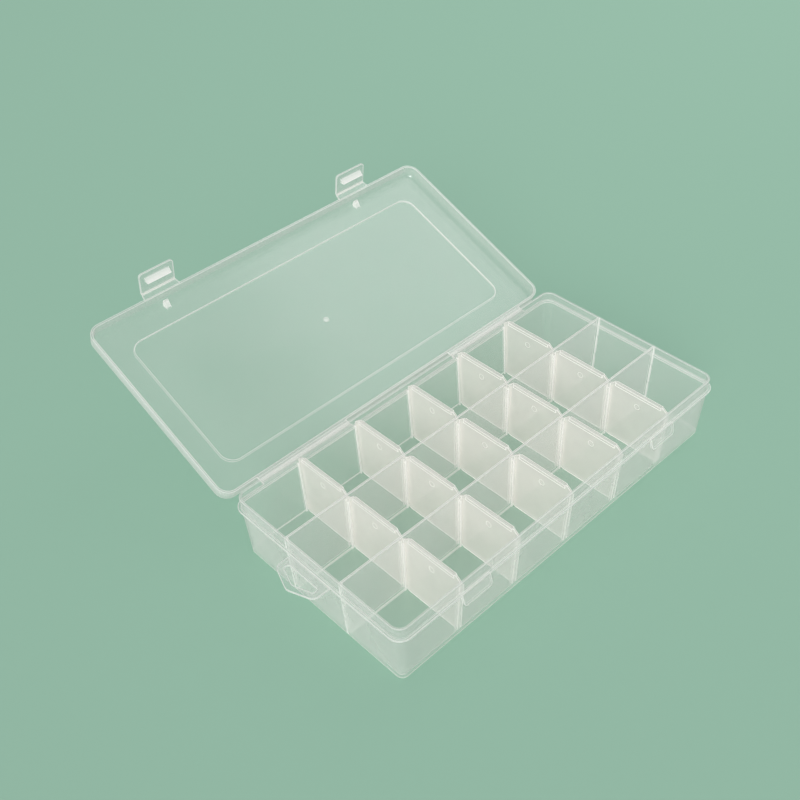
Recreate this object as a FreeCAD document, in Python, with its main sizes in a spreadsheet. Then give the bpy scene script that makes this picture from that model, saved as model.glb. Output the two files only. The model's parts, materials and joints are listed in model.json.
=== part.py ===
import FreeCAD, Part
import math
import os
import re
import Sketcher
from FreeCAD import Placement, Rotation, Vector

# A polypropylene box with a hinged lid and eighteen compartments, shown with its lid open.
# X runs along the box, the latches are on the -Y side, the hinge is on the +Y side, and the
# origin is the middle of the tray's underside. All sizes are millimetres and degrees.

ROWS = 3
COLUMNS = 6

SIZES = {
    # Tray: flange outline, walls that lean in towards the foot, and the lip above the flange
    "box_length": 230,
    "box_width": 115.4,
    "tray_height": 38,
    "wall_thickness": 1.2,
    "wall_inset": 2,
    "corner_radius": 5.8,
    "foot_radius": 0.4,
    "lip_height": 6.3,
    "lip_rounding": 0.35,
    "flange_thickness": 0.8,
    "flange_overhang": 1.3,
    "partition_thickness": 1,
    # Guide ribs that stand in pairs on the walls and partitions
    "rib_depth": 1.1,
    "rib_width": 0.8,
    "rib_top_gap": 4,
    # Dividers that drop in between the ribs
    "divider_thickness": 1,
    "divider_rise": 0.6,
    "divider_corner_radius": 3,
    "shoulder_drop": 2.2,
    "shoulder_run": 2.6,
    "bead_thickness": 2.1,
    "bead_height": 1.8,
    "bead_inset": 3.4,
    "mark_diameter": 3,
    "mark_depth": 0.15,
    "mark_drop": 8.2,
    "slot_clearance": 0.25,
    "side_clearance": 0.35,
    "floor_clearance": 0.3,
    # Lid, a shallow shell that fits over the lip and rests on the flange
    "lid_wall": 1.2,
    "lid_fit": 0.35,
    "lid_depth": 7.4,
    "lid_edge_radius": 3.4,
    "rim_gap": 0.2,
    "panel_inset": 15.9,
    "panel_radius": 7.2,
    "panel_rise": 0.6,
    "panel_step": 0.4,
    "gate_diameter": 2.6,
    "gate_height": 0.5,
    "gusset_length": 4.2,
    "gusset_tip": 1,
    "gusset_height": 3,
    "gusset_thickness": 2.8,
    "open_angle": 157.67,
    # Living hinge behind the tray, in two lengths
    "hinge_reach": 2.7,
    "hinge_end_gap": 19.5,
    "hinge_length": 58,
    "leaf_thickness": 0.8,
    "hinge_gap": 1.2,
    "web_thickness": 0.4,
    # Latches: a strip on the lid's rim, a fold, and a flap with a hook
    "latch_end_gap": 47,
    "strip_length": 3.3,
    "strip_root_width": 22.5,
    "strip_thickness": 1,
    "fold_gap": 0.8,
    "flap_width": 21.2,
    "flap_length": 13.2,
    "flap_thickness": 1,
    "flap_radius": 2,
    "flap_angle": 76,
    "hook_width": 15,
    "hook_run": 2.6,
    "hook_clearance": 0.3,
    "latch_engagement": 0.8,
    # Catches that hang from the flange, for the hooks
    "catch_width": 18,
    "catch_drop": 7,
    "catch_thickness": 1.2,
    "catch_flare": 1.6,
    "catch_radius": 2,
    # Hang tab on the left end
    "tab_width": 27.2,
    "tab_side": 9.1,
    "tab_reach": 14.2,
    "tab_radius": 4.5,
    "tab_hole_offset": 4.05,
    "tab_hole_side": 6.9,
    "tab_hole_width": 20.4,
    "tab_hole_reach": 10.5,
    "tab_hole_radius": 1.4,
}

# Sizes that follow from the ones above
DERIVED = {
    "lip_length": "box_length - 2 * flange_overhang",
    "lip_width": "box_width - 2 * flange_overhang",
    "foot_length": "lip_length - 2 * wall_inset",
    "foot_width": "lip_width - 2 * wall_inset",
    "flange_top": "tray_height - lip_height",
    "flange_bottom": "flange_top - flange_thickness",
    "column_pitch": f"(lip_length - 2 * wall_thickness) / {COLUMNS}",
    "row_clear": f"(lip_width - 2 * wall_thickness - {ROWS - 1} * partition_thickness) / {ROWS}",
    "row_pitch": "row_clear + partition_thickness",
    "slot_width": "divider_thickness + 2 * slot_clearance",
    "rib_foot": "wall_thickness / 2",
    "rib_top": "tray_height - rib_top_gap",
    "hinge_back": "box_width / 2 + hinge_reach",
    "hinge_start": "box_length / 2 - hinge_end_gap - hinge_length",
    "axis_height": "flange_top + rim_gap / 2",
    "lid_length": "lip_length + 2 * (lid_fit + lid_wall)",
    "lid_width": "lip_width + 2 * (lid_fit + lid_wall)",
    "lid_height": "lid_depth + lid_wall",
    "panel_length": "lid_length - 2 * panel_inset",
    "panel_width": "lid_width - 2 * panel_inset",
    "fold_reach": "lid_width / 2 + strip_length",
    "latch_place": "box_length / 2 - latch_end_gap",
    "catch_foot": "flange_top - catch_drop",
    "hook_level": "catch_drop + rim_gap + hook_clearance",
    "hook_height": "fold_reach - box_width / 2 - catch_flare + latch_engagement",
}

doc = FreeCAD.newDocument("compartment_box")
sheet = doc.addObject("Spreadsheet::Sheet", "Sizes")
cells = {name: str(number) for name, number in SIZES.items()}
cells.update({name: "=" + formula for name, formula in DERIVED.items()})
for row, (name, content) in enumerate(cells.items(), 1):
    sheet.set(f"A{row}", name)
    sheet.set(f"B{row}", content)
    sheet.setAlias(f"B{row}", name)
doc.recompute()

SMALLEST_MATCH_SHARE = 1e-6
match = SMALLEST_MATCH_SHARE * sheet.box_length


def sized(formula):
    """The formula with every named size read from the sheet."""
    return re.sub(r"\b[a-z]+(?:_[a-z]+)+\b", r"Sizes.\g<0>", formula)


def value(formula):
    """What the formula gives now."""
    return float(sheet.evalExpression(sized(formula)))


def new_body(label):
    """An empty body whose label names its file."""
    body = doc.addObject("PartDesign::Body", label)
    body.Label = label
    return body


def sketch_on(body, name, plane, x="0", y="0", z="0"):
    """A sketch on one of the body's planes, moved by x, y and along the plane's normal by z."""
    sketch = body.newObject("Sketcher::SketchObject", name)
    support = next(f for f in body.Origin.OriginFeatures if f.Role == plane)
    sketch.AttachmentSupport = [(support, "")]
    sketch.MapMode = "FlatFace"
    for axis, formula in (("x", x), ("y", y), ("z", z)):
        if formula != "0":
            sketch.setExpression(f".AttachmentOffset.Base.{axis}", sized(formula))
    return sketch


def dimension(sketch, formula, *parts):
    """A sketch dimension that follows a formula."""
    number = sketch.addConstraint(Sketcher.Constraint(*parts, value(formula)))
    sketch.setExpression(f"Constraints[{number}]", sized(formula))


def outline(sketch, corners):
    """A closed outline of straight sides through corners, each a pair of formulas."""
    places = [Vector(value(x), value(y), 0) for x, y in corners]
    first = sketch.GeometryCount
    count = len(corners)
    for i in range(count):
        sketch.addGeometry(Part.LineSegment(places[i], places[(i + 1) % count]))
    for i, (x, y) in enumerate(corners):
        line = first + i
        following = first + (i + 1) % count
        sketch.addConstraint(Sketcher.Constraint("Coincident", line, 2, following, 1))
        for kind, formula, axis in (("DistanceX", x, -2), ("DistanceY", y, -1)):
            if formula == "0":
                sketch.addConstraint(Sketcher.Constraint("PointOnObject", line, 1, axis))
            else:
                dimension(sketch, formula, kind, -1, 1, line, 1)


def rounded_rectangle(sketch, length, width, radius):
    """A rectangle with round corners about the sketch's origin, sized by formulas."""
    first = sketch.GeometryCount
    end, side, turn = value(length) / 2, value(width) / 2, value(radius)
    flat, rise = end - turn, side - turn
    up = Vector(0, 0, 1)
    quarter = math.radians(90)
    for a, b in (
        ((-flat, -side), (flat, -side)),
        ((end, -rise), (end, rise)),
        ((flat, side), (-flat, side)),
        ((-end, rise), (-end, -rise)),
    ):
        sketch.addGeometry(Part.LineSegment(Vector(*a, 0), Vector(*b, 0)))
    for i, (x, y) in enumerate(((flat, -rise), (flat, rise), (-flat, rise), (-flat, -rise))):
        circle = Part.Circle(Vector(x, y, 0), up, turn)
        sketch.addGeometry(Part.ArcOfCircle(circle, (i - 1) * quarter, i * quarter))
    lines = [first + i for i in range(4)]
    arcs = [first + 4 + i for i in range(4)]
    for i in range(4):
        following = lines[(i + 1) % 4]
        sketch.addConstraint(Sketcher.Constraint("Tangent", lines[i], 2, arcs[i], 1))
        sketch.addConstraint(Sketcher.Constraint("Tangent", arcs[i], 2, following, 1))
    for i, kind in enumerate(("Horizontal", "Vertical", "Horizontal", "Vertical")):
        sketch.addConstraint(Sketcher.Constraint(kind, lines[i]))
    for i in range(3):
        sketch.addConstraint(Sketcher.Constraint("Equal", arcs[i], arcs[i + 1]))
    sketch.addConstraint(Sketcher.Constraint("Symmetric", lines[0], 1, lines[2], 1, -1, 1))
    dimension(sketch, length, "DistanceX", lines[3], 1, lines[1], 1)
    dimension(sketch, width, "DistanceY", lines[0], 1, lines[2], 1)
    dimension(sketch, radius, "Radius", arcs[0])


def circle(sketch, diameter):
    """A circle about the sketch's origin."""
    sketch.addGeometry(Part.Circle(Vector(0, 0, 0), Vector(0, 0, 1), value(diameter) / 2))
    sketch.addConstraint(Sketcher.Constraint("Coincident", 0, 3, -1, 1))
    dimension(sketch, diameter, "Diameter", 0)


def extrude(body, kind, name, sketch, length, centred=False, taper="0", reversed_way=False):
    """A pad or pocket of a sketch."""
    feature = body.newObject(f"PartDesign::{kind}", name)
    feature.Profile = sketch
    feature.setExpression("Length", sized(length))
    feature.SideType = "Symmetric" if centred else "One side"
    feature.Reversed = reversed_way
    if taper != "0":
        feature.setExpression("TaperAngle", sized(taper))
    doc.recompute()
    return feature


def fillet(body, name, radius, chosen):
    """Rounds the edges of the body so far for which chosen is true."""
    base = body.Tip
    names = [f"Edge{i}" for i, edge in enumerate(base.Shape.Edges, 1) if chosen(edge)]
    feature = body.newObject("PartDesign::Fillet", name)
    feature.Base = (base, names)
    feature.setExpression("Radius", sized(radius))
    doc.recompute()


def level(edge, height):
    """True for an edge that lies flat at this height."""
    return all(abs(vertex.Z - height) < match for vertex in edge.Vertexes)


def hollow(body, name, thickness, height):
    """Shells the body and leaves it open at its flat face at this height."""
    base = body.Tip
    faces = enumerate(base.Shape.Faces, 1)
    flat = [f"Face{i}" for i, face in faces if abs(face.BoundBox.ZMin - height) < match
            and abs(face.BoundBox.ZMax - height) < match]
    feature = body.newObject("PartDesign::Thickness", name)
    feature.Base = (base, flat)
    feature.setExpression("Value", sized(thickness))
    feature.Reversed = True
    doc.recompute()


def wall_face(half_foot, height):
    """How far the inner face of a leaning wall stands from the middle, at a height."""
    return f"({half_foot} - wall_thickness + wall_inset * ({height}) / tray_height)"


# Tray: a leaning-walled shell with a lip
tray = new_body("tray")
foot = sketch_on(tray, "foot_outline", "XY_Plane")
rounded_rectangle(foot, "foot_length", "foot_width", "corner_radius - wall_inset")
extrude(tray, "Pad", "tray_block", foot, "tray_height", taper="atan(wall_inset / tray_height)")
mouth = sketch_on(tray, "mouth_outline", "XY_Plane", z="tray_height")
rounded_rectangle(mouth, "lip_length - 2 * wall_thickness", "lip_width - 2 * wall_thickness",
                  "corner_radius - wall_thickness")
extrude(tray, "Pocket", "tray_hollow", mouth, "tray_height - wall_thickness",
        taper="-atan(wall_inset / tray_height)")
fillet(tray, "lip_edges", "lip_rounding", lambda edge: level(edge, sheet.tray_height))
fillet(tray, "foot_edge", "foot_radius", lambda edge: level(edge, 0))

# Flange round the tray below the lip
flange = sketch_on(tray, "flange_outline", "XY_Plane", z="flange_bottom")
rounded_rectangle(flange, "box_length", "box_width", "corner_radius + flange_overhang")
rounded_rectangle(flange, "lip_length - 2 * wall_thickness", "lip_width - 2 * wall_thickness",
                  "corner_radius - wall_thickness")
extrude(tray, "Pad", "flange", flange, "flange_thickness")

# Two lengthwise partitions, let half way into the floor and the end walls
for side, sign in (("front", "-"), ("back", "")):
    face = sketch_on(tray, f"partition_{side}_outline", "XZ_Plane", z=f"-({sign}row_pitch / 2)")
    outline(face, (
        ("-(foot_length - wall_thickness) / 2", "wall_thickness / 2"),
        ("(foot_length - wall_thickness) / 2", "wall_thickness / 2"),
        ("(lip_length - wall_thickness) / 2", "tray_height"),
        ("-(lip_length - wall_thickness) / 2", "tray_height"),
    ))
    extrude(tray, "Pad", f"partition_{side}", face, "partition_thickness", centred=True)

# Guide ribs: one rib each side of the first slot, on both walls and across both partitions,
# let half way into the floor and repeated along the tray
ribs = []
for side, sign in (("left", "-"), ("right", "")):
    middle = f"{sign}(slot_width + rib_width) / 2"
    first_slot = f"-column_pitch * {COLUMNS / 2 - 1}"
    section = sketch_on(tray, f"rib_{side}_outline", "YZ_Plane", z=f"{first_slot} + {middle}")
    foot_face = wall_face("foot_width / 2", "rib_foot")
    top_face = wall_face("foot_width / 2", "rib_top")
    for way in ("-", ""):
        outline(section, (
            (f"{way}({foot_face} - rib_depth)", "rib_foot"),
            (f"{way}({foot_face} + wall_thickness / 2)", "rib_foot"),
            (f"{way}({top_face} + wall_thickness / 2)", "rib_top"),
            (f"{way}({top_face} - rib_depth)", "rib_top"),
        ))
        near = f"{way}(row_clear / 2 - rib_depth)"
        far = f"{way}(row_pitch - row_clear / 2 + rib_depth)"
        outline(section, ((near, "rib_foot"), (far, "rib_foot"), (far, "rib_top"), (near, "rib_top")))
    ribs.append(extrude(tray, "Pad", f"rib_{side}", section, "rib_width", centred=True))
rows_of_ribs = tray.newObject("PartDesign::LinearPattern", "ribs")
rows_of_ribs.Originals = ribs
rows_of_ribs.Direction = (next(f for f in tray.Origin.OriginFeatures if f.Role == "X_Axis"), [""])
rows_of_ribs.Occurrences = COLUMNS - 1
rows_of_ribs.setExpression("Length", sized(f"column_pitch * {COLUMNS - 2}"))
tray.Tip = rows_of_ribs
doc.recompute()

# Hinge leaves on the back of the flange
for side, sign in (("left", "-"), ("right", "")):
    leaf = sketch_on(tray, f"leaf_{side}_outline", "XY_Plane", z="flange_top")
    inner, outer = f"{sign}hinge_start", f"{sign}(hinge_start + hinge_length)"
    root, tip = "box_width / 2 - flange_overhang", "hinge_back - hinge_gap / 2"
    outline(leaf, ((inner, root), (outer, root), (outer, tip), (inner, tip)))
    extrude(tray, "Pad", f"leaf_{side}", leaf, "leaf_thickness", reversed_way=True)

# Catches that hang from the front of the flange and flare outwards
for side, sign in (("left", "-"), ("right", "")):
    plate = sketch_on(tray, f"catch_{side}_outline", "YZ_Plane", z=f"{sign}latch_place")
    edge, join = "-box_width / 2", "flange_bottom + flange_thickness / 2"
    outline(plate, (
        (edge, join),
        (f"{edge} + catch_thickness", join),
        (f"{edge} + catch_thickness - catch_flare", "catch_foot"),
        (f"{edge} - catch_flare", "catch_foot"),
    ))
    extrude(tray, "Pad", f"catch_{side}", plate, "catch_width", centred=True)


def catch_corner(edge):
    """True for a lower corner of a catch, which runs through its thickness."""
    return level(edge, sheet.catch_foot) and edge.BoundBox.XLength < match


fillet(tray, "catch_corners", "catch_radius", catch_corner)

# Hang tab on the left end, with its hole
tab = sketch_on(tray, "tab_outline", "XY_Plane", x="-box_length / 2", z="flange_bottom")
outline(tab, (
    ("flange_overhang", "-tab_width / 2"),
    ("flange_overhang", "tab_width / 2"),
    ("-tab_side", "tab_width / 2"),
    ("-tab_reach", "0"),
    ("-tab_side", "-tab_width / 2"),
))
outline(tab, (
    ("-tab_hole_offset", "-tab_hole_width / 2"),
    ("-tab_hole_offset", "tab_hole_width / 2"),
    ("-tab_hole_side", "tab_hole_width / 2"),
    ("-tab_hole_reach", "0"),
    ("-tab_hole_side", "-tab_hole_width / 2"),
))
extrude(tray, "Pad", "tab", tab, "flange_thickness")


def tab_edge(edge):
    """True for an upright edge of the hang tab or of its hole."""
    box = edge.BoundBox
    beyond = -box.XMax > sheet.box_length / 2 + match
    within = abs(box.YMax) < sheet.tab_width / 2 + match
    return beyond and within and box.ZLength > match and box.XLength < match


def tab_hole_edge(edge):
    """True for an upright edge of the hang tab's hole."""
    box = edge.BoundBox
    shallow = -box.XMax < sheet.box_length / 2 + sheet.tab_hole_reach + match
    return tab_edge(edge) and shallow and abs(box.YMax) < sheet.tab_hole_width / 2 + match


fillet(tray, "tab_hole_corners", "tab_hole_radius", tab_hole_edge)
fillet(tray, "tab_corners", "tab_radius", lambda edge: tab_edge(edge) and not tab_hole_edge(edge))

# Lid, drawn closed about the hinge axis, then opened by its placement
lid = new_body("lid")
rim = sketch_on(lid, "rim_outline", "XY_Plane", y="-hinge_back", z="rim_gap / 2")
rounded_rectangle(rim, "lid_length", "lid_width", "corner_radius + lid_fit + lid_wall")
extrude(lid, "Pad", "lid_block", rim, "lid_height")
fillet(lid, "lid_edge", "lid_edge_radius", lambda edge: level(edge, value("rim_gap / 2 + lid_height")))
hollow(lid, "lid_hollow", "lid_wall", value("rim_gap / 2"))

# Raised panel of the lid, the same height inside and out, and the moulding gate on it
raised = sketch_on(lid, "panel_outline", "XY_Plane", y="-hinge_back", z="rim_gap / 2 + lid_height")
rounded_rectangle(raised, "panel_length + 2 * panel_step", "panel_width + 2 * panel_step",
                  "panel_radius + panel_step")
extrude(lid, "Pad", "panel", raised, "panel_rise")
sunk = sketch_on(lid, "panel_inner_outline", "XY_Plane", y="-hinge_back", z="rim_gap / 2 + lid_depth")
rounded_rectangle(sunk, "panel_length", "panel_width", "panel_radius")
extrude(lid, "Pocket", "panel_inside", sunk, "panel_rise", reversed_way=True)
gate = sketch_on(lid, "gate_outline", "XY_Plane", y="-hinge_back",
                 z="rim_gap / 2 + lid_height + panel_rise")
circle(gate, "gate_diameter")
extrude(lid, "Pad", "gate", gate, "gate_height")

for side, sign in (("left", "-"), ("right", "")):
    # Hinge leaf at the back of the rim
    leaf = sketch_on(lid, f"lid_leaf_{side}_outline", "XY_Plane", z="rim_gap / 2")
    inner, outer = f"{sign}hinge_start", f"{sign}(hinge_start + hinge_length)"
    root, tip = "-hinge_back + lid_width / 2 - lid_wall / 2", "-hinge_gap / 2"
    outline(leaf, ((inner, root), (outer, root), (outer, tip), (inner, tip)))
    extrude(lid, "Pad", f"lid_leaf_{side}", leaf, "leaf_thickness")
    # Strip that carries the latch flap clear of the flange
    strip = sketch_on(lid, f"strip_{side}_outline", "XY_Plane", x=f"{sign}latch_place", z="rim_gap / 2")
    root, tip = "-hinge_back - lid_width / 2 + lid_wall / 2", "-hinge_back - fold_reach + fold_gap / 2"
    outline(strip, (
        ("-strip_root_width / 2", root),
        ("strip_root_width / 2", root),
        ("flap_width / 2", tip),
        ("-flap_width / 2", tip),
    ))
    extrude(lid, "Pad", f"strip_{side}", strip, "strip_thickness")
    # Gusset that reaches down inside the lip
    gusset = sketch_on(lid, f"gusset_{side}_outline", "YZ_Plane", z=f"{sign}latch_place")
    outer_end = "-hinge_back - lip_width / 2 + wall_thickness + lid_fit"
    panel_face = "rim_gap / 2 + lid_depth"
    outline(gusset, (
        (outer_end, f"{panel_face} + lid_wall / 2"),
        (outer_end, f"{panel_face} - gusset_height"),
        (f"{outer_end} + gusset_tip", f"{panel_face} - gusset_height"),
        (f"{outer_end} + gusset_length", panel_face),
        (f"{outer_end} + gusset_length", f"{panel_face} + lid_wall / 2"),
    ))
    extrude(lid, "Pad", f"gusset_{side}", gusset, "gusset_thickness", centred=True)

along = Vector(1, 0, 0)
lid_place = Placement(Vector(0, sheet.hinge_back, sheet.axis_height), Rotation(along, -sheet.open_angle))
lid.Placement = lid_place


def flap_corner(edge):
    """True for a free corner of a flap, which runs through its thickness."""
    return level(edge, -sheet.flap_length) and edge.BoundBox.XLength < match


def latch(side, sign):
    """A flap drawn hanging from its fold, with the hook on its inner face, then swung out."""
    flap = new_body(f"latch_{side}")
    face = sketch_on(flap, f"flap_{side}_outline", "XZ_Plane")
    outline(face, (
        ("-flap_width / 2", "-fold_gap / 2"),
        ("flap_width / 2", "-fold_gap / 2"),
        ("flap_width / 2", "-flap_length"),
        ("-flap_width / 2", "-flap_length"),
    ))
    extrude(flap, "Pad", f"flap_{side}", face, "flap_thickness")
    fillet(flap, f"flap_corners_{side}", "flap_radius", flap_corner)
    section = sketch_on(flap, f"hook_{side}_outline", "YZ_Plane")
    outline(section, (
        ("-flap_thickness / 2", "-hook_level"),
        ("hook_height", "-hook_level"),
        ("0", "-hook_level - hook_run"),
        ("-flap_thickness / 2", "-hook_level - hook_run"),
    ))
    extrude(flap, "Pad", f"hook_{side}", section, "hook_width", centred=True)
    fold = Vector(value(f"{sign}latch_place"), value("-hinge_back - fold_reach"), value("rim_gap / 2"))
    swing = Rotation(along, value("flap_angle - 90"))
    flap.Placement = lid_place.multiply(Placement(fold, swing))


def web(label, length, gap, bend, place):
    """A thin web across a fold at the local origin: a flat half on the -Y side, a round bend
    under the fold, and a flat half turned up by the bend."""
    halves = []
    for part, turn in (("near", "0"), ("far", bend)):
        half = doc.addObject("Part::Box", f"{label}_{part}")
        half.setExpression("Length", sized(length))
        half.setExpression("Width", sized(f"{gap} / 2"))
        half.setExpression("Height", sized("web_thickness"))
        shift = "0" if part == "far" else f"-{gap} / 2"
        corner = Vector(value(f"-({length}) / 2"), value(shift), value("-web_thickness"))
        half.Placement = Placement(Vector(0, 0, 0), Rotation(along, value(turn))).multiply(
            Placement(corner, Rotation()))
        halves.append(half)
    turn = doc.addObject("Part::Cylinder", f"{label}_bend")
    turn.setExpression("Radius", sized("web_thickness"))
    turn.setExpression("Height", sized(length))
    turn.setExpression("Angle", sized(bend))
    lay = Rotation(Vector(0, 0, -1), Vector(0, 1, 0), along, "ZXY")
    turn.Placement = Placement(Vector(value(f"-({length}) / 2"), 0, 0), lay)
    whole = doc.addObject("Part::MultiFuse", label)
    whole.Label = label
    whole.Shapes = halves + [turn]
    whole.Refine = True
    whole.Placement = place
    doc.recompute()
    return whole


webs = []
for side, sign in (("left", "-"), ("right", "")):
    latch(side, sign)
    middle = Vector(value(f"{sign}(hinge_start + hinge_length / 2)"), sheet.hinge_back, sheet.axis_height)
    webs.append(web(f"hinge_web_{side}", "hinge_length", "hinge_gap", "180 - open_angle",
                    Placement(middle, Rotation())))
    fold = Vector(value(f"{sign}latch_place"), value("-hinge_back - fold_reach"), value("rim_gap / 2"))
    upside_down = Rotation(along, 180)
    webs.append(web(f"fold_web_{side}", "flap_width", "fold_gap", "flap_angle",
                    lid_place.multiply(Placement(fold, upside_down))))


def divider(label, column, row, turned, leaning):
    """A plate with a bead along its top, drawn from the middle of its row at floor level.
    Where leaning is true its +Y edge follows the leaning outer wall."""
    plate = new_body(label)
    bottom, top = "floor_clearance", "tray_height - wall_thickness + divider_rise"
    shoulder = f"{top} - shoulder_drop"
    straight = "row_clear / 2 - side_clearance"

    def far_edge(height):
        if not leaning:
            return straight
        return f"{wall_face('foot_width / 2', f'wall_thickness + {height}')} - row_pitch - side_clearance"

    face = sketch_on(plate, f"{label}_outline", "YZ_Plane")
    outline(face, (
        (f"-({straight})", bottom),
        (far_edge(bottom), bottom),
        (far_edge(shoulder), shoulder),
        (f"{far_edge(shoulder)} - shoulder_run", top),
        (f"-({straight}) + shoulder_run", top),
        (f"-({straight})", shoulder),
    ))
    extrude(plate, "Pad", f"{label}_plate", face, "divider_thickness", centred=True)
    fillet(plate, f"{label}_corners", "divider_corner_radius",
           lambda edge: level(edge, sheet.floor_clearance) and edge.BoundBox.YLength < match)
    bead = sketch_on(plate, f"{label}_bead_outline", "YZ_Plane")
    near_end, far_end = f"-({straight}) + bead_inset", f"{far_edge(shoulder)} - bead_inset"
    outline(bead, (
        (near_end, f"{top} - bead_height"),
        (far_end, f"{top} - bead_height"),
        (far_end, top),
        (near_end, top),
    ))
    extrude(plate, "Pad", f"{label}_bead", bead, "bead_thickness", centred=True)
    # Round ejector mark, sunk into the face that looks along -X once the plate is in the tray
    side = "" if turned else "-"
    mark = sketch_on(plate, f"{label}_mark_outline", "YZ_Plane", y=f"{top} - mark_drop",
                     z=f"{side}divider_thickness / 2")
    circle(mark, "mark_diameter")
    extrude(plate, "Pocket", f"{label}_mark", mark, "mark_depth", reversed_way=not turned)
    plate.Placement = Placement(
        Vector(value(f"column_pitch * {column}"), value(f"row_pitch * {row}"), sheet.wall_thickness),
        Rotation(Vector(0, 0, 1), 180 if turned else 0))


for row_name, row, turned, leaning in (
    ("back", 1, False, True),
    ("middle", 0, False, False),
    ("front", -1, True, True),
):
    for number in range(1, COLUMNS):
        divider(f"divider_{row_name}_{number}", number - COLUMNS // 2, row, turned, leaning)

# Every piece is checked before any is written
doc.recompute()
for thing in doc.Objects:
    if "Invalid" in thing.State or "Error" in thing.State:
        raise RuntimeError(f"{thing.Label} did not build: {thing.State}")
pieces = [thing for thing in doc.Objects if thing.TypeId == "PartDesign::Body"] + webs
for piece in pieces:
    if piece.Shape.isNull() or not piece.Shape.isValid():
        raise RuntimeError(f"{piece.Label} is not a valid shape")
    if len(piece.Shape.Solids) != 1:
        raise RuntimeError(f"{piece.Label} is not one solid")

os.makedirs("parts", exist_ok=True)
for piece in pieces:
    piece.Shape.exportStep(f"parts/{piece.Label}.step")
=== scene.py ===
import json
import math
from collections import namedtuple

import bmesh
import bpy
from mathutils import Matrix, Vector


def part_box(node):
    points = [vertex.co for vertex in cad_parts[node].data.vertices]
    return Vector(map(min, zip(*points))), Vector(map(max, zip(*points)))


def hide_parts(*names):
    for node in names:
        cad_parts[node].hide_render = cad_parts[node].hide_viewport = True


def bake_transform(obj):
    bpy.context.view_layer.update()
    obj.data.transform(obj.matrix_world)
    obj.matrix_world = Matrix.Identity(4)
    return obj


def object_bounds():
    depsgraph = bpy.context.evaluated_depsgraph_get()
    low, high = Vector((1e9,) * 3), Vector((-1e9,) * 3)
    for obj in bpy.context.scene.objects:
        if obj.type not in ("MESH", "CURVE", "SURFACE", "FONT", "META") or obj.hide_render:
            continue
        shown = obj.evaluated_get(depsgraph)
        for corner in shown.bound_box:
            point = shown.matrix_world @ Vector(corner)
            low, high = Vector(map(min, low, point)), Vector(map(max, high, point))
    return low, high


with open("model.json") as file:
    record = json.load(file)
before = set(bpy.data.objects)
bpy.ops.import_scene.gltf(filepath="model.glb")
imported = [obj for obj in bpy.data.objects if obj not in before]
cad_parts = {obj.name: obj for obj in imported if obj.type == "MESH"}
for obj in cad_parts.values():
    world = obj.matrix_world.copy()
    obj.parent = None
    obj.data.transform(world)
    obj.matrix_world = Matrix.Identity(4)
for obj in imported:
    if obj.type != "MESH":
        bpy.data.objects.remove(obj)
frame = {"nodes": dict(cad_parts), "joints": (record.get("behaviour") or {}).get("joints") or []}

cad_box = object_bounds()

# Tray
# The deep half of one injection moulding: leaning walls, lip, flange, partitions and guide ribs.
# Clear natural polypropylene about 1 mm thick, slightly milky. Every edge and foot is painted
# white:
# partly the milkiness of looking along the plastic, partly a painted glow of light led along the
# walls.
MM = 0.001
NATURAL = "#f2f1ee"
# the white of the painted edge glow and corner highlights, and of thick or flexed plastic
EDGE_WHITE = "#fcfaf8"

# A white place is a box, with its centre and half sizes in mm, or a ring at a distance round that
# box. The whiteness is full so far from there and gone so far from there, sooner in height by the
# squash, and share says how white it is. A mirrored place is at all four sides of the tray. Some
# places are the real milkiness of thick or flexed plastic, and some a painted glow where light led
# along the plastic comes out at feet and joins.
MilkAndGlow = namedtuple("MilkAndGlow", "centre half full gone share squash ring mirrored",
                   defaults=(1, 0, False))


def linear(colour):
    """An sRGB hex colour as linear red, green, blue and a full alpha."""
    channels = [int(colour[i:i + 2], 16) / 255 for i in (1, 3, 5)]
    return [c / 12.92 if c <= 0.04045 else ((c + 0.055) / 1.055) ** 2.4 for c in channels] + [1]


def add(tree, kind, inputs, **settings):
    """Adds a node with its settings. Each input is a value, or another node's output to link."""
    node = tree.nodes.new(kind)
    for name, setting in settings.items():
        setattr(node, name, setting)
    for name, given in inputs.items():
        if isinstance(given, bpy.types.NodeSocket):
            tree.links.new(given, node.inputs[name])
        else:
            node.inputs[name].default_value = given
    return node


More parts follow.
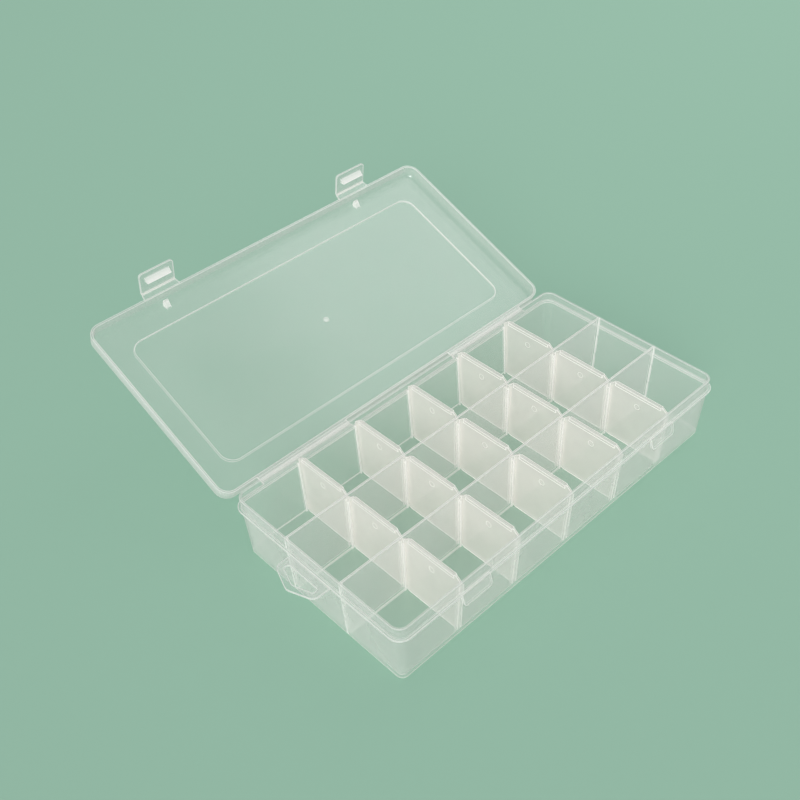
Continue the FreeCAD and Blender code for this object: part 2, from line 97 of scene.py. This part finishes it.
def polypropylene(name, body, clear_share, rim_depth, lamp_share, roughness, milk_and_glow, gather=1,
                  crisp=1):
    """See-through moulded polypropylene. The wall is a faint milky haze that thickens as it is seen
    more along its length. Its rims, corners and milky places are painted nearly white: thick or
    flexed plastic is really milkier, and the rest is painted glow and highlights where light led
    along the plastic comes out. Clear share is what a wall seen square on lets through, and lamp
    share what it lets through of a lamp. A larger gather draws the haze together at curved
    outlines, and crisp is how white a corner's painted highlight turns."""
    material = bpy.data.materials.new(name)
    material.use_nodes = True
    tree = material.node_tree
    tree.nodes.clear()
    place = add(tree, "ShaderNodeTexCoord", {}).outputs["Object"]
    normal = add(tree, "ShaderNodeNewGeometry", {}).outputs["Normal"]
    # rims: where less than nearly all of the space just under the surface is plastic, painted white
    # as a glow of light led along the wall, with some real milkiness of looking along it
    rim_starts, rim_full = 0.98, 0.74
    inner = add(tree, "ShaderNodeAmbientOcclusion", {"Distance": rim_depth}, samples=6,
                inside=True, only_local=True)
    rim = add(tree, "ShaderNodeMapRange", {
        "Value": inner.outputs["AO"], "From Min": rim_starts, "From Max": rim_full,
        "To Min": 0, "To Max": 1})
    # corners: a painted highlight where rounding by about a third of a millimetre turns the surface
    corner_radius = 0.3 * MM
    corner_starts, corner_full = 0.99, 0.9
    soft = add(tree, "ShaderNodeBevel", {"Radius": corner_radius}, samples=6)
    same = add(tree, "ShaderNodeVectorMath", {0: soft.outputs[0], 1: normal},
               operation="DOT_PRODUCT")
    corner = add(tree, "ShaderNodeMapRange", {
        "Value": same.outputs["Value"], "From Min": corner_starts, "From Max": corner_full,
        "To Min": 0, "To Max": crisp})
    line = add(tree, "ShaderNodeMath", {0: rim.outputs[0], 1: corner.outputs[0]},
               operation="MAXIMUM")
    # white places: real milkiness where the plastic is thick or has been flexed, and a painted glow
    # where light led along the plastic comes out at its feet and joins
    sides = add(tree, "ShaderNodeVectorMath", {0: place}, operation="ABSOLUTE").outputs[0]
    for spot in milk_and_glow:
        offset = add(tree, "ShaderNodeVectorMath", {
            0: sides if spot.mirrored else place, 1: Vector(spot.centre) * MM},
            operation="SUBTRACT")
        spread = add(tree, "ShaderNodeVectorMath", {0: offset.outputs[0]}, operation="ABSOLUTE")
        past = add(tree, "ShaderNodeVectorMath", {0: spread.outputs[0], 1: Vector(spot.half) * MM},
                   operation="SUBTRACT")
        outside = add(tree, "ShaderNodeVectorMath", {0: past.outputs[0], 1: (0, 0, 0)},
                      operation="MAXIMUM")
        scaled = add(tree, "ShaderNodeVectorMath", {0: outside.outputs[0], 1: (1, 1, spot.squash)},
                     operation="MULTIPLY")
        gap = add(tree, "ShaderNodeVectorMath", {0: scaled.outputs[0]}, operation="LENGTH")
        beside = add(tree, "ShaderNodeMath", {0: gap.outputs["Value"], 1: spot.ring * MM},
                     operation="SUBTRACT")
        away = add(tree, "ShaderNodeMath", {0: beside.outputs[0]}, operation="ABSOLUTE")
        white_amount = add(tree, "ShaderNodeMapRange", {
            "Value": away.outputs[0], "From Min": spot.full * MM, "From Max": spot.gone * MM,
            "To Min": spot.share, "To Max": 0})
        line = add(tree, "ShaderNodeMath", {0: line.outputs[0], 1: white_amount.outputs[0]},
                   operation="MAXIMUM")
    # flow marks from the gate, a few centimetres across, make the haze a little uneven
    flow_width = 34 * MM
    flow = add(tree, "ShaderNodeTexNoise", {
        "Vector": place, "Scale": 1 / flow_width, "Detail": 3, "Roughness": 0.55})
    cloud = add(tree, "ShaderNodeMapRange", {
        "Value": flow.outputs[0], "From Min": 0.3, "From Max": 0.7, "To Min": 0.86, "To Max": 1.14})
    # haze: what is seen through a wall falls with the length of the slanting way through it
    least_across = 0.1
    most_line_cover = 0.95
    facing = add(tree, "ShaderNodeLayerWeight", {"Blend": 0.5}).outputs["Facing"]
    across = add(tree, "ShaderNodeMath", {0: 1.0, 1: facing}, operation="SUBTRACT")
    least = add(tree, "ShaderNodeMath", {0: across.outputs[0], 1: least_across},
                operation="MAXIMUM")
    slant = add(tree, "ShaderNodeMath", {0: least.outputs[0], 1: gather}, operation="POWER")
    path = add(tree, "ShaderNodeMath", {0: cloud.outputs[0], 1: slant.outputs[0]},
               operation="DIVIDE")
    clear = add(tree, "ShaderNodeMath", {0: clear_share, 1: path.outputs[0]}, operation="POWER")
    kept = add(tree, "ShaderNodeMath", {0: line.outputs[0], 1: -most_line_cover, 2: 1.0},
               operation="MULTIPLY_ADD")
    through = add(tree, "ShaderNodeMath", {0: clear.outputs[0], 1: kept.outputs[0]},
                  operation="MULTIPLY")
    # colour: the haze turned towards white by the painted glow, painted highlights and real
    # milkiness
    colour = add(tree, "ShaderNodeMix", {
        "Factor": line.outputs[0], 6: linear(body), 7: linear(EDGE_WHITE)},
        data_type="RGBA").outputs[2]
    # skin: a polished mould, with the faint orange peel of shrinking plastic
    peel_width = 2.5 * MM
    peel_depth = 0.01 * MM
    grain = add(tree, "ShaderNodeTexNoise", {"Vector": place, "Scale": 1 / peel_width, "Detail": 2})
    gloss = add(tree, "ShaderNodeMapRange", {
        "Value": grain.outputs[0], "From Min": 0.3, "From Max": 0.7,
        "To Min": roughness - 0.04, "To Max": roughness + 0.05})
    bump = add(tree, "ShaderNodeBump", {
        "Height": grain.outputs[0], "Strength": 0.25, "Distance": peel_depth})
    skin = add(tree, "ShaderNodeBsdfPrincipled", {
        "Base Color": colour, "Roughness": gloss.outputs[0], "IOR": 1.49,
        "Normal": bump.outputs[0]})
    glow = add(tree, "ShaderNodeBsdfTranslucent", {"Color": colour})
    haze = add(tree, "ShaderNodeMixShader", {0: 0.5, 1: skin.outputs[0], 2: glow.outputs[0]})
    hole = add(tree, "ShaderNodeBsdfTransparent", {})
    wall = add(tree, "ShaderNodeMixShader", {
        0: through.outputs[0], 1: haze.outputs[0], 2: hole.outputs[0]})
    # gloss: the clear wall reflects as strongly as any plastic, more at a shallow angle
    square_on, edge_on = 0.04, 0.3
    steep = add(tree, "ShaderNodeMath", {0: facing, 1: 5.0}, operation="POWER")
    shine = add(tree, "ShaderNodeMath", {0: steep.outputs[0], 1: edge_on, 2: square_on},
                operation="MULTIPLY_ADD")
    mirror = add(tree, "ShaderNodeBsdfGlossy", {
        "Roughness": gloss.outputs[0], "Normal": bump.outputs[0]})
    glossy = add(tree, "ShaderNodeMixShader", {
        0: shine.outputs[0], 1: wall.outputs[0], 2: mirror.outputs[0]})
    # shadow: haze scatters lamp light forward, so the shadow is fainter than the haze
    lamp = add(tree, "ShaderNodeLightPath", {})
    shade = add(tree, "ShaderNodeBsdfTransparent", {"Color": [lamp_share] * 3 + [1]})
    plastic = add(tree, "ShaderNodeMixShader", {
        0: lamp.outputs["Is Shadow Ray"], 1: glossy.outputs[0], 2: shade.outputs[0]})
    add(tree, "ShaderNodeOutputMaterial", {"Surface": plastic.outputs[0]})
    return material


HINGE = Vector(next(joint for joint in frame["joints"] if joint["name"] == "lid_hinge")["pos_m"])
FLEXED_LEAVES = MilkAndGlow(centre=HINGE / MM, half=(200, 0, 0), full=0.5, gone=2.6, share=0.4)
# the tray's foot: a painted glow along the bottom edge, where light led down the walls comes out
FOOT = MilkAndGlow(centre=(0, 0, 0), half=(107.9, 50.6, 0), full=0.35, gone=0.8, share=0.9, squash=4,
             ring=3.8)
# the hang tab's root: a painted glow that carries the flange's edge line across the tab
TAB_ROOT = MilkAndGlow(centre=(-114.9, 0, 31.3), half=(0.1, 13.4, 0.4), full=0.15, gone=0.45, share=0.8)
PARTITION_Y = 18.57
# the partitions' feet: a painted glow where light led down them comes out, with a little real
# milkiness of the thick base
PARTITION_FEET = MilkAndGlow(centre=(0, PARTITION_Y, 0.6), half=(113, 0.4, 0.5), full=0.15, gone=0.45,
                       share=0.95, mirrored=True)
# painted glow where a partition joins an end wall, with a little real milkiness of the thick join,
# in three lengths because the wall leans out as it rises
END_LOWEST = Vector((111.48, PARTITION_Y, 7.3))
END_RISE = Vector((0.64, 0, 12.16))
PARTITION_ENDS = [MilkAndGlow(centre=END_LOWEST + END_RISE * third, half=(0.6, 0.4, 6.1), full=0.15,
                        gone=0.45, share=0.9, mirrored=True) for third in range(3)]
# natural polypropylene from a polished mould: clear and glossy, with a faint grey haze
frame["nodes"]["tray"].data.materials[0] = polypropylene(
    "polypropylene_natural_tray", NATURAL, clear_share=0.88, rim_depth=0.6 * MM, lamp_share=0.9,
    roughness=0.2, milk_and_glow=[FLEXED_LEAVES, FOOT, TAB_ROOT, PARTITION_FEET] + PARTITION_ENDS)

# Living hinge
# Two thin webs of the same moulding join the tray's hinge leaves to the lid's.
# The polypropylene is left 0.4 mm thick there, so that it bends, and flexing has whitened it.
WEB = 0.4 * MM
HINGE_GAP = 1.2 * MM
# the lid's slope above the flange at rest, in degrees
OPENED = 22.33


def paint(piece, material):
    """Gives a piece its one material."""
    piece.data.materials.clear()
    piece.data.materials.append(material)


def bent_web(node, joint_name, tilt, bend, gap, material):
    """A thin web across a fold: a flat half on the near body, a round bend below the fold line and
    a flat half on the far body. Tilt is the near half's slope and bend the turn at rest, in
    degrees. Gap is how far the web reaches across."""
    fold = Vector(next(joint for joint in frame["joints"] if joint["name"] == joint_name)["pos_m"])
    low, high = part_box(node)

    def point(turn, along, below):
        """Across the fold: a distance along a half turned by an angle, and a depth below it."""
        angle = math.radians(tilt + turn)
        return (fold.y + along * math.cos(angle) + below * math.sin(angle),
                fold.z + along * math.sin(angle) - below * math.cos(angle))

    steps = 12
    section = [point(0, -gap / 2, 0), point(0, -gap / 2, WEB)]
    section += [point(bend * i / steps, 0, WEB) for i in range(steps + 1)]
    section += [point(bend, gap / 2, WEB), point(bend, gap / 2, 0), (fold.y, fold.z)]
    shape = bmesh.new()
    ends = [[shape.verts.new((x, y, z)) for y, z in section] for x in (low.x, high.x)]
    for i, corner in enumerate(ends[0]):
        after = (i + 1) % len(section)
        shape.faces.new((corner, ends[0][after], ends[1][after], ends[1][i]))
    for end in ends:
        shape.faces.new(end)
    bmesh.ops.recalc_face_normals(shape, faces=shape.faces)
    mesh = bpy.data.meshes.new(node + "_bend")
    shape.to_mesh(mesh)
    shape.free()
    piece = bpy.data.objects.new(node + "_bend", mesh)
    bpy.context.scene.collection.objects.link(piece)
    paint(piece, material)
    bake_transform(piece)
    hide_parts(node)


# polypropylene whitened by bending: cloudy, and duller than the walls
whitened = polypropylene("polypropylene_flexed_white", "#efece8", clear_share=0.6,
                         rim_depth=0.3 * MM, lamp_share=0.9, roughness=0.35, milk_and_glow=[])
for side in ("left", "right"):
    bent_web("hinge_web_" + side, "lid_hinge", 0, OPENED, HINGE_GAP,
             whitened)

# Lid
# The shallow half of the moulding: rim, raised panel with its gate, hinge leaves, latch strips.
# The same clear polypropylene as the tray, joined to it by the living hinge.
LATCH_SIDES = (-68, 68)
GATE = MilkAndGlow(centre=(0, 119.9, 45.92), half=(0, 0, 0), full=0.9, gone=1.4, share=0.95)
GUSSETS = [MilkAndGlow(centre=(x, 167.8, 69.1), half=(0.6, 0.6, 0.6), full=1.0, gone=1.7, share=0.9)
           for x in LATCH_SIDES]
# natural polypropylene from a polished mould: clear and glossy, hazier along its rounded edge
frame["nodes"]["lid"].data.materials[0] = polypropylene(
    "polypropylene_natural_lid", NATURAL, clear_share=0.9, rim_depth=0.45 * MM, lamp_share=0.9,
    roughness=0.2, milk_and_glow=[FLEXED_LEAVES, GATE] + GUSSETS, gather=1.8)

# Latches
# Two flaps of the same polypropylene, each with a hook that snaps under a catch on the tray.
# They fold on thin webs at the ends of the lid's strips.
# the flaps' turn from the lid's rim plane at rest, in degrees
SWUNG = 76
FOLD_GAP = 0.8 * MM
HOOKS = [MilkAndGlow(centre=(x, 170.86, 86.11), half=(6.2, 0.5, 0.5), full=0.9, gone=1.5, share=0.9)
         for x in LATCH_SIDES]
# natural polypropylene from a polished mould: clear and glossy, with thick white hooks
natural_latch = polypropylene("polypropylene_natural_latch", NATURAL, clear_share=0.89,
                              rim_depth=0.6 * MM, lamp_share=0.9, roughness=0.2, milk_and_glow=HOOKS)
for side in ("left", "right"):
    flap = "latch_" + side
    frame["nodes"][flap].data.materials[0] = natural_latch
    bent_web("fold_web_" + side, flap + "_fold", OPENED, SWUNG, FOLD_GAP,
             whitened)

# Dividers
# Loose plates with a bead along the top, pushed down between the guide ribs.
# Milky polypropylene from a mould with a fine matt texture.
# the dividers' bottom edge: a painted glow where light led down the plate comes out
FOOT_EDGE = MilkAndGlow(centre=(0, 0, 1.6), half=(200, 200, 0.3), full=0.1, gone=0.4, share=0.9)
# milky polypropylene with a matt skin: cloudy, so what stands behind it only glimmers through
frosted = polypropylene("polypropylene_milky_frosted", "#efebe6", clear_share=0.72,
                        rim_depth=0.45 * MM, lamp_share=0.9, roughness=0.45, milk_and_glow=[FOOT_EDGE],
                        crisp=0.35)
for name, node in frame["nodes"].items():
    if name.startswith("divider_"):
        node.data.materials[0] = frosted

# Floor, light and camera
# A plain pale table top, a wide soft light low on the left, and an even sky.
# A smaller light above on the right is mirrored softly in the lid.
# The camera stands at the front left and looks down on the open box.
scene = bpy.context.scene
TABLE_RADIUS = 12
TABLE_DROP = 0.05 * MM
floor_mesh = bpy.data.meshes.new("floor")
shape = bmesh.new()
bmesh.ops.create_circle(shape, cap_ends=True, segments=96, radius=TABLE_RADIUS)
shape.to_mesh(floor_mesh)
shape.free()
floor = bpy.data.objects.new("floor", floor_mesh)
floor.location.z = -TABLE_DROP
scene.collection.objects.link(floor)
# matt painted board: an even pale green with hardly any shine
ground = bpy.data.materials.new("pale_table_top")
ground.use_nodes = True
ground.node_tree.nodes.clear()
top = add(ground.node_tree, "ShaderNodeBsdfPrincipled", {
    "Base Color": linear("#93b8a4"), "Roughness": 0.9, "Specular IOR Level": 0.1})
add(ground.node_tree, "ShaderNodeOutputMaterial", {"Surface": top.outputs[0]})
paint(floor, ground)

world = bpy.data.worlds.new("even_sky")
world.use_nodes = True
world.node_tree.nodes.clear()
sky = add(world.node_tree, "ShaderNodeBackground", {"Color": linear("#eef0f0"), "Strength": 0.65})
add(world.node_tree, "ShaderNodeOutputWorld", {"Surface": sky.outputs[0]})
scene.world = world


def hang(lamp, place):
    """Puts a light at a place, aimed at the middle of the box."""
    light = bpy.data.objects.new(lamp.name, lamp)
    light.location = place
    middle = (cad_box[0] + cad_box[1]) / 2
    light.rotation_euler = (middle - light.location).to_track_quat("-Z", "Y").to_euler()
    scene.collection.objects.link(light)


above = bpy.data.lights.new("above", "AREA")
above.size = 0.9
above.energy = 3.5
hang(above, (1.0, 0.15, 1.15))
left = bpy.data.lights.new("left", "SUN")
left.angle = math.radians(30)
left.energy = 2.5
hang(left, (-1.9, -1.2, 1.1))

EYE_PLACE = Vector((-290.24, -260.27, 406.67)) * MM
EYE_TURN = (48.405, 2.102, -43.857)
eye = bpy.data.cameras.new("photo_view")
eye.sensor_width = 36
eye.lens = 48.531
eye.clip_start = 0.01
camera = bpy.data.objects.new("photo_view", eye)
camera.location = EYE_PLACE
camera.rotation_euler = [math.radians(angle) for angle in EYE_TURN]
scene.collection.objects.link(camera)
scene.camera = camera
scene.view_settings.view_transform = "Standard"
# a look through every wall, web and divider in a row crosses dozens of surfaces
scene.cycles.transparent_max_bounces = 64
